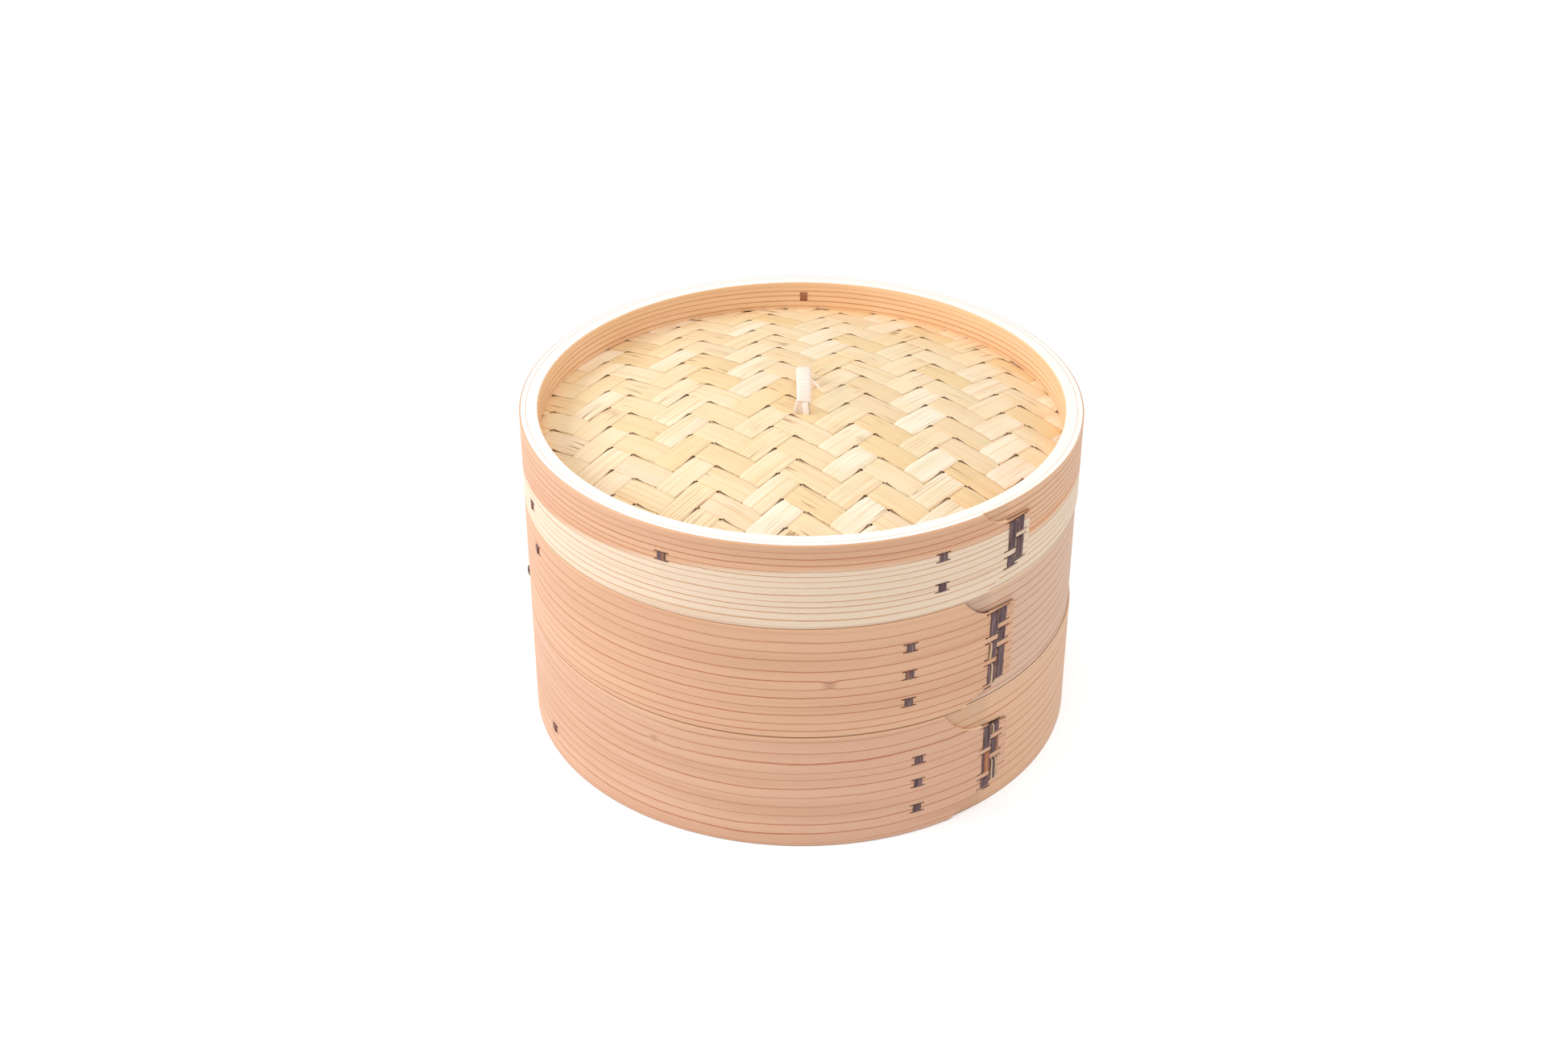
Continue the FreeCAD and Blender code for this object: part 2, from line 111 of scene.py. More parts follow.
def add_studio():
    world = bpy.data.worlds.new("studio")
    bpy.context.scene.world = world
    world.use_nodes = True
    background = world.node_tree.nodes["Background"]
    background.inputs["Color"].default_value = (1.0, 1.0, 1.0, 1.0)
    background.inputs["Strength"].default_value = 0.70
    middle = (0, 0, 80 * MM)
    add_area_light("key", (-1.60, -0.10, 0.80), middle, (1.1, 1.1), 19, (1.0, 0.995, 0.985))
    add_area_light("overhead", (0.1, -0.2, 1.9), middle, (1.4, 1.4), 9.5, (1.0, 1.0, 1.0))
    add_area_light("fill", (1.7, -0.9, 0.9), middle, (1.4, 1.4), 3.5, (1.0, 1.0, 1.0))

    bpy.ops.mesh.primitive_plane_add(size=12.0)
    floor = bpy.context.object
    floor.name = "floor"
    floor.location.z = LOWER_FOOT - 0.02 * MM
    floor.data.materials.append(floor_material())

    scene = bpy.context.scene
    scene.view_settings.view_transform = "Standard"
    scene.view_settings.look = "None"


def floor_material():
    material = bpy.data.materials.new("floor_paper")
    material.use_nodes = True
    shader = material.node_tree.nodes["Principled BSDF"]
    shader.inputs["Base Color"].default_value = (0.88, 0.905, 0.925, 1)
    shader.inputs["Roughness"].default_value = 0.9
    shader.inputs["Emission Color"].default_value = (0.97, 0.99, 1.0, 1)
    shader.inputs["Emission Strength"].default_value = 0.32
    return material


# ---------------------------------------------------------------- node helpers

class Graph:
    """Short names for the nodes of one material."""

    def __init__(self, name):
        self.material = bpy.data.materials.new(name)
        self.material.use_nodes = True
        self.nodes = self.material.node_tree.nodes
        self.links = self.material.node_tree.links
        self.shader = self.nodes["Principled BSDF"]

    def put(self, socket, value):
        if isinstance(value, bpy.types.NodeSocket):
            self.links.new(value, socket)
        elif isinstance(value, tuple) and len(value) == 3 and socket.type == "RGBA":
            socket.default_value = (*value, 1.0)
        else:
            socket.default_value = value

    def math(self, operation, first, second=0.0):
        node = self.nodes.new("ShaderNodeMath")
        node.operation = operation
        for socket, value in zip(node.inputs, (first, second)):
            self.put(socket, value)
        return node.outputs[0]

    def add(self, first, second):
        return self.math("ADD", first, second)

    def sub(self, first, second):
        return self.math("SUBTRACT", first, second)

    def mul(self, first, second):
        return self.math("MULTIPLY", first, second)

    def step(self, value, low, high):
        """0 below low, 1 above high, smooth between."""
        node = self.nodes.new("ShaderNodeMapRange")
        node.interpolation_type = "SMOOTHSTEP"
        self.put(node.inputs["Value"], value)
        self.put(node.inputs["From Min"], low)
        self.put(node.inputs["From Max"], high)
        return node.outputs["Result"]

    def mix(self, amount, first, second, blend="MIX"):
        node = self.nodes.new("ShaderNodeMix")
        node.data_type = "RGBA"
        node.blend_type = blend
        self.put(node.inputs["Factor"], amount)
        self.put(node.inputs["A"], first)
        self.put(node.inputs["B"], second)
        return node.outputs["Result"]

    def join(self, x, y, z):
        node = self.nodes.new("ShaderNodeCombineXYZ")
        for socket, value in zip(node.inputs, (x, y, z)):
            self.put(socket, value)
        return node.outputs[0]

    def split(self, vector):
        node = self.nodes.new("ShaderNodeSeparateXYZ")
        self.put(node.inputs[0], vector)
        return node.outputs

    def noise(self, vector, detail=2.0, roughness=0.5):
        """Noise whose scale is set by the vector alone."""
        node = self.nodes.new("ShaderNodeTexNoise")
        self.put(node.inputs["Vector"], vector)
        self.put(node.inputs["Scale"], 1.0)
        self.put(node.inputs["Detail"], detail)
        self.put(node.inputs["Roughness"], roughness)
        return node.outputs["Fac"]

    def ramp(self, value, stops):
        node = self.nodes.new("ShaderNodeValToRGB")
        elements = node.color_ramp.elements
        while len(elements) < len(stops):
            elements.new(0.5)
        for element, (place, colour) in zip(elements, stops):
            element.position = place
            element.color = (*colour, 1.0)
        self.put(node.inputs[0], value)
        return node.outputs["Color"]

    def place(self):
        """Object coordinates, in metres in the steamer's own frame."""
        return self.nodes.new("ShaderNodeTexCoord").outputs["Object"]

    def facing(self):
        """Direction that the flat face itself looks in."""
        return self.nodes.new("ShaderNodeNewGeometry").outputs["True Normal"]

    def attribute(self, name):
        node = self.nodes.new("ShaderNodeAttribute")
        node.attribute_name = name
        return node.outputs

    def bump(self, height, distance, strength):
        node = self.nodes.new("ShaderNodeBump")
        self.put(node.inputs["Height"], height)
        self.put(node.inputs["Distance"], distance)
        self.put(node.inputs["Strength"], strength)
        return node.outputs[0]

    def finish(self, colour, roughness, normal, coat=0.0, specular=0.35):
        self.put(self.shader.inputs["Base Color"], colour)
        self.put(self.shader.inputs["Roughness"], roughness)
        self.shader.inputs["Specular IOR Level"].default_value = specular
        self.shader.inputs["Coat Weight"].default_value = coat
        self.put(self.shader.inputs["Normal"], normal)
        return self.material


def rgb(red, green, blue):
    """Linear colour from 0 to 255 display values."""
    values = [value / 255 for value in (red, green, blue)]
    return tuple(v / 12.92 if v <= 0.04045 else ((v + 0.055) / 1.055) ** 2.4 for v in values)


# ---------------------------------------------------------------- wood materials

LAP_TURN = 360.0
LINE_WIDTH = 0.46 * MM
FAINT_WIDTH = 0.34 * MM


def hoop_place(g, foot, lap_angle):
    """Where a point is on a hoop: its coordinates, its face, and its turn round from the lap."""
    x, y, z = g.split(g.place())
    nx, ny, nz = g.split(g.facing())
    radius = g.math("SQRT", g.add(g.mul(x, x), g.mul(y, y)))
    at = SimpleNamespace(z=z, nz=nz, radius=radius)
    at.outward = g.math("DIVIDE", g.add(g.mul(x, nx), g.mul(y, ny)), radius)
    at.upright = g.math("ABSOLUTE", nz)
    at.level = g.sub(z, foot)
    at.sunk = g.sub(OUTER_RADIUS, radius)

    # Turn round the hoop from the lap, in degrees, following the strip down under its own end.
    at.angle = g.mul(g.math("ARCTAN2", y, x), 180 / math.pi)
    turn = g.math("MODULO", g.add(g.sub(at.angle, lap_angle), 2 * LAP_TURN), LAP_TURN)
    under = g.math("GREATER_THAN", at.sunk, 0.7 * MM)
    before_lap = g.math("GREATER_THAN", turn, 335.0)
    after_lap = g.math("LESS_THAN", turn, 9.0)
    turn = g.sub(turn, g.mul(LAP_TURN, g.mul(under, before_lap)))
    at.turn = g.add(turn, g.mul(LAP_TURN, g.mul(g.sub(1.0, under), after_lap)))
    return at


def ring_lines(g, depth, spacing, width):
    """Thin lines, one to each whole step of depth and width wide."""
    off = g.mul(g.math("ABSOLUTE", g.sub(g.math("FRACT", depth), 0.5)), spacing)
    return g.sub(1.0, g.step(off, 0.22 * width, 0.95 * width))


def knot_smudge(g, at, knot):
    """Dark patch of a knot, and how far it pushes the year rings aside."""
    knot_angle, knot_level, knot_size = knot
    across = g.mul(g.sub(at.angle, knot_angle), math.radians(OUTER_RADIUS))
    above = g.sub(at.level, knot_level)
    far = g.add(g.math("POWER", g.math("DIVIDE", across, 1.5 * knot_size), 2.0),
                g.math("POWER", g.math("DIVIDE", above, knot_size), 2.0))
    smudge = g.math("EXPONENT", g.mul(far, -1.0))
    push = g.mul(g.mul(smudge, g.math("SIGN", above)), 0.45 * knot_size)
    return smudge, push


def ring_shift(g, at, spacing, seed):
    """Slow drift and fine ripple of the year rings' height."""
    turn, level = at.turn, at.level
    slow = g.noise(g.join(g.mul(turn, 0.011), g.mul(level, 9.0), seed), detail=1.0)
    wander = g.noise(g.join(g.mul(turn, 0.05), g.mul(level, 60.0), seed + 3.0))
    ripple = g.noise(g.join(g.mul(turn, 0.30), g.mul(level, 260.0), seed + 5.0))
    uneven = g.noise(g.join(0.3, g.mul(level, 90.0), seed + 9.0), detail=1.0)
    shift = g.mul(g.sub(slow, 0.5), 1.3 * spacing)
    shift = g.add(shift, g.mul(g.sub(wander, 0.5), 0.30 * spacing))
    shift = g.add(shift, g.mul(g.sub(ripple, 0.5), 0.24 * MM))
    return g.add(shift, g.mul(g.sub(uneven, 0.5), 1.2 * spacing))


def year_rings(g, at, rim, spacing, shift, seed):
    """Strong year rings, and faint ones between some of them."""
    depth = g.add(g.math("DIVIDE", g.add(at.level, shift), spacing), 40.0)
    line = ring_lines(g, depth, spacing, LINE_WIDTH)
    ring_number = g.math("FLOOR", depth)
    strength = g.noise(g.join(g.mul(ring_number, 3.17), g.mul(at.turn, 0.012), seed), detail=1.0)
    grain = g.noise(g.join(g.mul(at.turn, 0.6), g.mul(at.level, 900.0), seed + 2.0), detail=3.0)
    line = g.mul(line, g.add(0.60, g.mul(grain, 0.66)))
    line = g.mul(line, g.add(0.55, g.mul(g.step(strength, 0.25, 0.70), 0.55)))
    beside_edge = g.math("MAXIMUM", g.step(at.z, rim - 4.2 * MM, rim - 2.6 * MM),
                         g.sub(1.0, g.step(at.level, 1.8 * MM, 3.2 * MM)))
    line = g.mul(line, g.sub(1.0, g.mul(beside_edge, 0.55)))
    between = g.noise(g.join(g.mul(at.turn, 0.014), g.mul(ring_number, 2.3), seed + 12.0), detail=1.0)
    faint = ring_lines(g, g.add(depth, 0.46), spacing, FAINT_WIDTH)
    return line, g.mul(faint, g.step(between, 0.50, 0.72))


def sapwood_band(g, at, wood, late, sapwood, seed):
    """Pale sapwood below a border that rises towards the lap, with a warm stain above the border."""
    pale, pale_late = sapwood
    border = g.add(17.6 * MM, g.mul(g.step(at.turn, 235.0, 318.0), 10.8 * MM))
    wobble = g.noise(g.join(g.mul(at.turn, 0.07), seed, 0.0), detail=1.0)
    border = g.add(border, g.mul(g.sub(wobble, 0.5), 1.6 * MM))
    above = g.sub(at.level, border)
    white = g.sub(1.0, g.step(above, -1.6 * MM, 1.6 * MM))
    stain = g.mul(g.step(above, -0.5 * MM, 0.8 * MM), g.sub(1.0, g.step(above, 1.4 * MM, 6.5 * MM)))
    stain = g.mul(stain, g.add(0.15, g.mul(g.sub(1.0, g.step(at.turn, 10.0, 60.0)), 0.75)))
    wood = g.mix(stain, wood, rgb(214, 150, 100))
    return g.mix(white, wood, pale), g.mix(white, late, pale_late)


def hoop_edges(g, at, colour, edge_tone, inside, rim, foot_shade, seed):
    """Pale end faces along the strip's long edges, painted shade and highlight on their bevels, and a fine
    line of painted shade along the foot and of painted highlight along the rim.
    """
    edge = g.mul(g.step(at.upright, 0.86, 0.97), g.sub(1.0, inside))
    plies = g.noise(g.join(g.mul(at.turn, 0.2), g.mul(at.radius, 4200.0), seed + 7.0), detail=3.0)
    pale_edge = g.mix(g.step(plies, 0.35, 0.8), edge_tone, tuple(c * 0.92 for c in edge_tone))
    colour = g.mix(g.mul(edge, 0.97), colour, pale_edge)
    arris = g.mul(edge, g.sub(1.0, g.step(at.sunk, 0.45 * MM, 0.95 * MM)))
    colour = g.mix(g.mul(arris, 0.85), colour, rgb(188, 132, 94))
    bevel = g.mul(g.step(at.upright, 0.45, 0.62), g.sub(1.0, g.step(at.upright, 0.80, 0.92)))
    bevel = g.mul(g.mul(bevel, g.sub(1.0, inside)), g.math("LESS_THAN", at.sunk, 2.0 * MM))
    # Painted shade on bevels that face down, and a painted highlight on bevels that face up.
    bevel_shade_and_highlight = g.mix(g.math("GREATER_THAN", at.nz, 0.0), rgb(104, 66, 46), rgb(226, 166, 118))
    colour = g.mix(g.mul(bevel, 0.85), colour, bevel_shade_and_highlight)

    # Painted shade in a fine dark line along the foot, and a painted highlight in a pale line along the rim.
    face = g.mul(g.sub(1.0, g.step(at.upright, 0.3, 0.5)), g.math("LESS_THAN", at.sunk, 2.5 * MM))
    foot_shade_line = g.sub(1.0, g.step(at.level, 0.55 * MM, 0.90 * MM))
    colour = g.mix(g.mul(g.mul(foot_shade_line, face), foot_shade), colour, rgb(104, 58, 24))
    rim_highlight = g.step(at.z, rim - 0.70 * MM, rim - 0.30 * MM)
    return g.mix(g.mul(g.mul(rim_highlight, face), 0.75), colour, rgb(255, 212, 162))


def hoop_cuts(g, at, colour, corner, inside):
    """The lap's cut corner in a given tone of painted light or shade, and painted shade inside the knife
    slits.
    """
    cut_corner = 0.0
    if corner:
        low_angle, high_angle, corner_light_tone = corner
        beside = g.mul(g.math("GREATER_THAN", at.angle, low_angle), g.math("LESS_THAN", at.angle, high_angle))
        high_up = g.mul(inside, g.math("GREATER_THAN", at.level, 20 * MM))
        cut_corner = g.mul(g.mul(beside, g.math("GREATER_THAN", at.nz, 0.0)), high_up)
        cut_corner = g.mul(cut_corner, g.step(at.upright, 0.25, 0.5))
        # Painted light on the cut corner: a highlight where the tone is lit, shade where it is shaded.
        colour = g.mix(cut_corner, colour, corner_light_tone)
    # Painted shade on the walls and back of the knife slits.
    wall = g.mul(g.step(at.upright, 0.35, 0.6), g.step(at.sunk, 0.55 * MM, 1.3 * MM))
    back = g.mul(g.step(at.outward, 0.4, 0.7), g.step(at.sunk, 1.75 * MM, 2.05 * MM))
    slit = g.mul(g.math("MAXIMUM", wall, back), inside)
    slit = g.mul(slit, g.math("LESS_THAN", at.sunk, 2.6 * MM))
    slit = g.mul(slit, g.sub(1.0, cut_corner))
    return g.mix(g.mul(slit, 0.93), colour, rgb(58, 36, 30))


def hoop_wood(name, foot, rim, lap_angle, tones, spacing, seed, sapwood=None, knot=None, corner=None,
              foot_shade=0.4):
    """Quarter-sawn fir bent round a hoop: year rings run round it, and break at the lap.

    tones: colours of the wood, its late rings, the strip's far end under the lap, and the hoop's edge.
    spacing: mean distance from one year ring to the next.
    sapwood: colours of the pale band at the foot and of its late rings.
    knot: angle, level above the foot and size of a knot.
    corner: angles between which the lap's cut corner lies, and the tone of the painted light or shade on the
    cut.
    foot_shade: how strong the painted shade along the foot is.
    """
    ground, late, ply, edge_tone = tones
    g = Graph(name)
    at = hoop_place(g, foot, lap_angle)
    turn, level = at.turn, at.level
    shift = ring_shift(g, at, spacing, seed)
    if knot:
        smudge, push = knot_smudge(g, at, knot)
        shift = g.add(shift, push)
    line, faint = year_rings(g, at, rim, spacing, shift, seed)

    fibre = g.noise(g.join(g.mul(turn, 0.22), g.mul(level, 5200.0), seed), detail=3.0, roughness=0.65)
    pores = g.noise(g.join(g.mul(turn, 2.4), g.mul(level, 7000.0), seed + 1.0))
    fleck = g.noise(g.join(g.mul(turn, 3.2), g.mul(level, 900.0), seed + 8.0))
    cloud = g.noise(g.join(g.mul(turn, 0.010), g.mul(level, 60.0), seed + 4.0))
    streak = g.noise(g.join(g.mul(turn, 0.016), g.mul(g.add(level, shift), 190.0), seed + 14.0))

    darker = tuple(channel * factor for channel, factor in zip(ground, (0.93, 0.88, 0.84)))
    lighter = tuple(channel * factor for channel, factor in zip(ground, (1.04, 1.05, 1.06)))
    wood = g.mix(g.step(cloud, 0.30, 0.70), lighter, darker)
    wood = g.mix(g.mul(g.sub(1.0, g.step(turn, 30.0, 110.0)), 0.8), wood, ply)
    exposed = g.mul(g.sub(1.0, g.step(turn, -4.0, -1.0)), g.step(at.sunk, 0.5 * MM, 0.9 * MM))
    wood = g.mix(g.mul(exposed, 0.75), wood, tuple(channel * 0.82 for channel in ply))
    if sapwood:
        wood, late = sapwood_band(g, at, wood, late, sapwood, seed)
    colour = g.mix(g.mul(g.step(streak, 0.56, 0.74), 0.22), wood, late)
    colour = g.mix(g.mul(faint, 0.16), colour, late)
    colour = g.mix(g.mul(line, 0.95), colour, late)
    colour = g.mix(g.mul(g.step(fibre, 0.45, 0.8), 0.16), colour, late)
    colour = g.mix(g.mul(g.step(pores, 0.60, 0.8), 0.12), colour, late)
    shade = g.add(0.91, g.mul(fleck, 0.18))
    colour = g.mix(1.0, colour, g.join(shade, shade, shade), "MULTIPLY")
    if knot:
        colour = g.mix(g.mul(g.step(smudge, 0.30, 1.0), 0.45), colour, rgb(150, 92, 66))

    # Away from the strip's long edges: the slits and the lap's cut corner are there.
    inside = g.mul(g.step(level, 1.6 * MM, 2.0 * MM),
                   g.sub(1.0, g.step(at.z, rim - 2.0 * MM, rim - 1.6 * MM)))
    colour = hoop_edges(g, at, colour, edge_tone, inside, rim, foot_shade, seed)
    colour = hoop_cuts(g, at, colour, corner, inside)

    height = g.add(g.mul(fibre, 0.5), g.mul(pores, 0.30))
    height = g.sub(height, g.mul(line, 0.10))
    normal = g.bump(height, 0.08 * MM, 0.5)
    return g.finish(colour, g.add(0.48, g.mul(fibre, 0.16)), normal, specular=0.7)


def split_bamboo(name, axis, tone, seed):
    """Split bamboo with long straight fibres along one axis and a node here and there."""
    g = Graph(name)
    parts = list(g.split(g.place()))
    along = parts.pop(axis)
    across, other = parts
    fibre = g.noise(g.join(g.mul(along, 14.0), g.mul(across, 1500.0), g.mul(other, 1500.0)), detail=3.0)
    streak = g.noise(g.join(g.mul(along, 5.0), g.mul(across, 320.0), g.mul(other, 320.0)))
    piece = g.noise(g.join(g.mul(along, 0.6), g.mul(across, 82.0), seed), detail=0.0)
    node_line = g.math("FRACT", g.add(g.mul(along, 4.3), g.mul(piece, 9.0)))
    node_line = g.step(node_line, 0.012, 0.0)
    colour = g.mix(g.step(piece, 0.35, 0.65), tone, tuple(c * 0.86 for c in tone))
    colour = g.mix(g.mul(g.step(streak, 0.45, 0.75), 0.35), colour, tuple(c * 0.72 for c in tone))
    colour = g.mix(g.mul(g.step(fibre, 0.5, 0.75), 0.35), colour, tuple(c * 0.62 for c in tone))
    colour = g.mix(g.mul(node_line, 0.6), colour, tuple(c * 0.45 for c in tone))
    height = g.add(g.mul(fibre, 0.6), g.mul(node_line, 0.8))
    return g.finish(colour, g.add(0.42, g.mul(fibre, 0.2)), g.bump(height, 0.12 * MM, 0.6))


def leaf_material():
    g = Graph("dried_leaf")
    x, y, _ = g.split(g.place())
    vein = g.noise(g.join(g.mul(x, 900.0), g.mul(y, 16.0), 0.0))
    colour = g.mix(g.step(vein, 0.4, 0.7), rgb(92, 62, 34), rgb(58, 38, 22))
    return g.finish(colour, 0.75, g.bump(vein, 0.15 * MM, 0.6))


def strip_material(name, warm):
    """Woven bamboo splint: fibres along the strip, with its own tint from the mesh.

    Strips of the second set have tints from 1 to 2 and are a little darker. warm is how far the
    colour is turned towards aged bamboo.
    """
    g = Graph(name)
    u, v, lift = g.split(g.attribute("strip_uv")["Vector"])
    tint = g.attribute("strip_tint")["Fac"]
    second = g.math("GREATER_THAN", tint, 1.0)
    tint = g.sub(tint, second)
    number = g.attribute("strip_number")["Fac"]
    fibre = g.noise(g.join(g.mul(u, 20.0), g.mul(v, 3000.0), number), detail=3.0, roughness=0.6)
    streak = g.noise(g.join(g.mul(u, 8.0), g.mul(v, 640.0), number))
    broad = g.noise(g.join(g.mul(u, 26.0), g.mul(v, 60.0), number), detail=1.0)
    green = g.noise(g.join(g.mul(u, 18.0), g.mul(v, 130.0), g.add(number, 31.0)))
    pink = g.noise(g.join(g.mul(u, 24.0), g.mul(v, 90.0), g.add(number, 57.0)))
    split = g.noise(g.join(g.mul(u, 9.0), g.mul(v, 330.0), g.add(number, 83.0)), detail=0.0)
    stretch = g.noise(g.join(g.mul(u, 38.0), number, 5.0), detail=1.0)
    base = g.ramp(tint, [
        (0.0, rgb(253, 238, 214)),
        (0.35, rgb(250, 230, 196)),
        (0.60, rgb(246, 221, 178)),
        (0.80, rgb(252, 235, 216)),
        (1.0, rgb(244, 216, 168)),
    ])
    colour = g.mix(second, base, g.mix(1.0, base, rgb(246, 239, 224), "MULTIPLY"))
    colour = g.mix(g.mul(g.step(broad, 0.40, 0.66), 0.45), colour, rgb(242, 213, 164))
    colour = g.mix(g.mul(g.step(green, 0.58, 0.72), 0.42), colour, rgb(226, 220, 182))
    colour = g.mix(g.mul(g.step(pink, 0.64, 0.78), 0.45), colour, rgb(248, 216, 194))
    colour = g.mix(g.mul(g.step(streak, 0.48, 0.70), 0.46), colour, rgb(228, 188, 134))
    colour = g.mix(g.mul(g.step(fibre, 0.50, 0.74), 0.42), colour, rgb(212, 168, 116))
    hairline = g.sub(1.0, g.step(g.math("ABSOLUTE", g.sub(split, 0.5)), 0.006, 0.024))
    hairline = g.mul(hairline, g.step(stretch, 0.46, 0.60))
    colour = g.mix(g.mul(hairline, 0.70), colour, rgb(160, 108, 60))
    edge = g.step(g.math("ABSOLUTE", v), 5.85 * MM, 6.25 * MM)
    colour = g.mix(g.mul(edge, 0.20), colour, rgb(200, 150, 92))

    # Painted shadow in the gap beside a parallel neighbour: dark at one end, narrowing to nothing.
    tail = g.attribute("strip_edge_shadow")["Fac"]
    outward = g.mul(v, g.math("SIGN", tail))
    tail = g.math("ABSOLUTE", tail)
    start = g.sub(6.22 * MM, g.mul(g.math("POWER", tail, 3.0), 0.95 * MM))
    shadow = g.mul(g.step(g.sub(outward, start), 0.0, 0.22 * MM), g.step(tail, 0.10, 0.70))
    colour = g.mix(g.mul(shadow, 0.90), colour, rgb(98, 50, 16))
    # Painted shade where a strip dives under a crossing strip.
    dive = g.sub(1.0, g.step(lift, -0.6, 0.4))
    colour = g.mix(g.mul(dive, 0.22), colour, rgb(206, 162, 106))
    colour = g.mix(warm, colour, rgb(206, 158, 96))
    height = g.add(g.mul(fibre, 0.7), g.mul(streak, 0.4))
    height = g.sub(height, g.mul(hairline, 0.6))
    return g.finish(colour, g.add(0.38, g.mul(fibre, 0.18)), g.bump(height, 0.09 * MM, 0.6), coat=0.05)


def bast_material():
    """Bark strip, fibrous along its length: dark where the tint is 0, scraped pale where it is 1."""
    g = Graph("bast_strip")
    u, v, _ = g.split(g.attribute("strip_uv")["Vector"])
    tint = g.attribute("strip_tint")["Fac"]
    number = g.attribute("strip_number")["Fac"]
    fibre = g.noise(g.join(g.mul(u, 60.0), g.mul(v, 2400.0), number), detail=3.0, roughness=0.7)
    patch = g.noise(g.join(g.mul(u, 110.0), g.mul(v, 620.0), g.add(number, 9.0)))
    dark = g.ramp(fibre, [
        (0.30, rgb(44, 26, 28)),
        (0.48, rgb(88, 62, 64)),
        (0.66, rgb(140, 112, 112)),
    ])
    scraped = g.ramp(fibre, [
        (0.30, rgb(120, 84, 62)),
        (0.48, rgb(196, 160, 122)),
        (0.70, rgb(236, 216, 194)),
    ])
    bark = g.ramp(fibre, [
        (0.30, rgb(108, 58, 38)),
        (0.50, rgb(168, 104, 70)),
        (0.72, rgb(200, 148, 108)),
    ])
    # Pale patches along the strip's fibres.
    pale_patches = g.mul(g.step(patch, 0.60, 0.72), 0.35)
    colour = g.mix(pale_patches, dark, rgb(170, 146, 132))
    colour = g.mix(g.step(tint, 0.2, 0.5), colour, bark)
    colour = g.mix(g.step(tint, 0.6, 0.9), colour, scraped)
    return g.finish(colour, 0.60, g.bump(fibre, 0.22 * MM, 0.9))


def cane_material():
    g = Graph("cane_strip")
    u, v, _ = g.split(g.attribute("strip_uv")["Vector"])
    number = g.attribute("strip_number")["Fac"]
    fibre = g.noise(g.join(g.mul(u, 40.0), g.mul(v, 3000.0), number), detail=3.0)
    crease = g.noise(g.join(g.mul(u, 420.0), g.mul(v, 90.0), g.add(number, 5.0)))
    colour = g.mix(g.step(fibre, 0.45, 0.8), rgb(250, 233, 218), rgb(238, 212, 192))
    colour = g.mix(g.mul(g.step(crease, 0.62, 0.76), 0.4), colour, rgb(226, 190, 160))
    edge = g.step(v, 0.90 * MM, 1.22 * MM)
    dash = g.noise(g.join(g.mul(u, 330.0), 7.0, number), detail=1.0)
    colour = g.mix(g.mul(edge, 0.35), colour, rgb(214, 176, 146))
    colour = g.mix(g.mul(edge, g.mul(g.step(dash, 0.58, 0.66), 0.7)), colour, rgb(140, 100, 76))
    height = g.add(g.mul(fibre, 0.4), g.mul(crease, 0.6))
    return g.finish(colour, 0.42, g.bump(height, 0.12 * MM, 0.6), coat=0.08)


# ---------------------------------------------------------------- strips

def new_piece(name, vertices, faces, material, coordinates, values):
    """Mesh piece made of strips, each point with its place along and across its own strip."""
    mesh = bpy.data.meshes.new(name)
    mesh.from_pydata([tuple(vertex) for vertex in vertices], [], faces)
    uv = mesh.attributes.new("strip_uv", "FLOAT_VECTOR", "POINT")
    uv.data.foreach_set("vector", np.asarray(coordinates, dtype=float).ravel())
    for place, label in enumerate(("strip_tint", "strip_number", "strip_edge_shadow")):
        attribute = mesh.attributes.new(label, "FLOAT", "POINT")
        attribute.data.foreach_set("value", np.asarray([value[place] for value in values], dtype=float))
    mesh.materials.append(material)
    mesh.update()
    piece = bpy.data.objects.new(name, mesh)
    bpy.context.scene.collection.objects.link(piece)
    return piece


class StripMesh:
    """Collects strips, each a closed flat bar bent along a line of frames."""

    def __init__(self):
        self.vertices = []
        self.faces = []
        self.coordinates = []
        self.values = []

    def add(self, frames, section, tint, number, tails=None):
        """frames: (centre, across, upward, distance, width scale, lift), with lift from -1 to 1 for
        the material; section: closed loop of (across, up); tails: how dark the painted shadow along an edge
        is at each frame."""
        base = len(self.vertices)
        count = len(section)
        for place, (centre, across, upward, distance, width_scale, lift) in enumerate(frames):
            tail = tails[place] if tails else 0.0
            for side, rise in section:
                point = centre + across * (side * width_scale) + upward * rise
                self.vertices.append(point)
                self.coordinates.append((distance, side * width_scale, lift))
                self.values.append((tint, number, tail))
        for row in range(len(frames) - 1):
            for column in range(count):
                following = (column + 1) % count
                a = base + row * count + column
                b = base + row * count + following
                self.faces.append((a, b, b + count, a + count))
        last = base + (len(frames) - 1) * count
        self.faces.append(tuple(range(base + count - 1, base - 1, -1)))
        self.faces.append(tuple(range(last, last + count)))

    def piece(self, name, material):
        made = new_piece(name, self.vertices, self.faces, material, self.coordinates, self.values)
        mesh = bmesh.new()
        mesh.from_mesh(made.data)
        bmesh.ops.recalc_face_normals(mesh, faces=mesh.faces)
        for face in mesh.faces:
            face.smooth = True
        mesh.to_mesh(made.data)
        mesh.free()
        return made


def flat_section(width, thickness, steps, crown=0.0, round_part=0.35):
    """Closed outline of a thin strip: slightly crowned on top, with eased edges."""
    half = width / 2
    edge = thickness * round_part
    top = []
    for index in range(steps + 1):
        side = -1 + 2 * index / steps
        top.append((side * (half - edge), thickness / 2 + crown * (1 - side * side)))
    right = [(half, thickness / 2 - edge), (half, -thickness / 2 + edge)]
    bottom = [(side, -thickness / 2) for side in (half - edge, 0.0, -half + edge)]
    left = [(-half, -thickness / 2 + edge), (-half, thickness / 2 - edge)]
    return top + right + bottom + left


# ---------------------------------------------------------------- woven mats

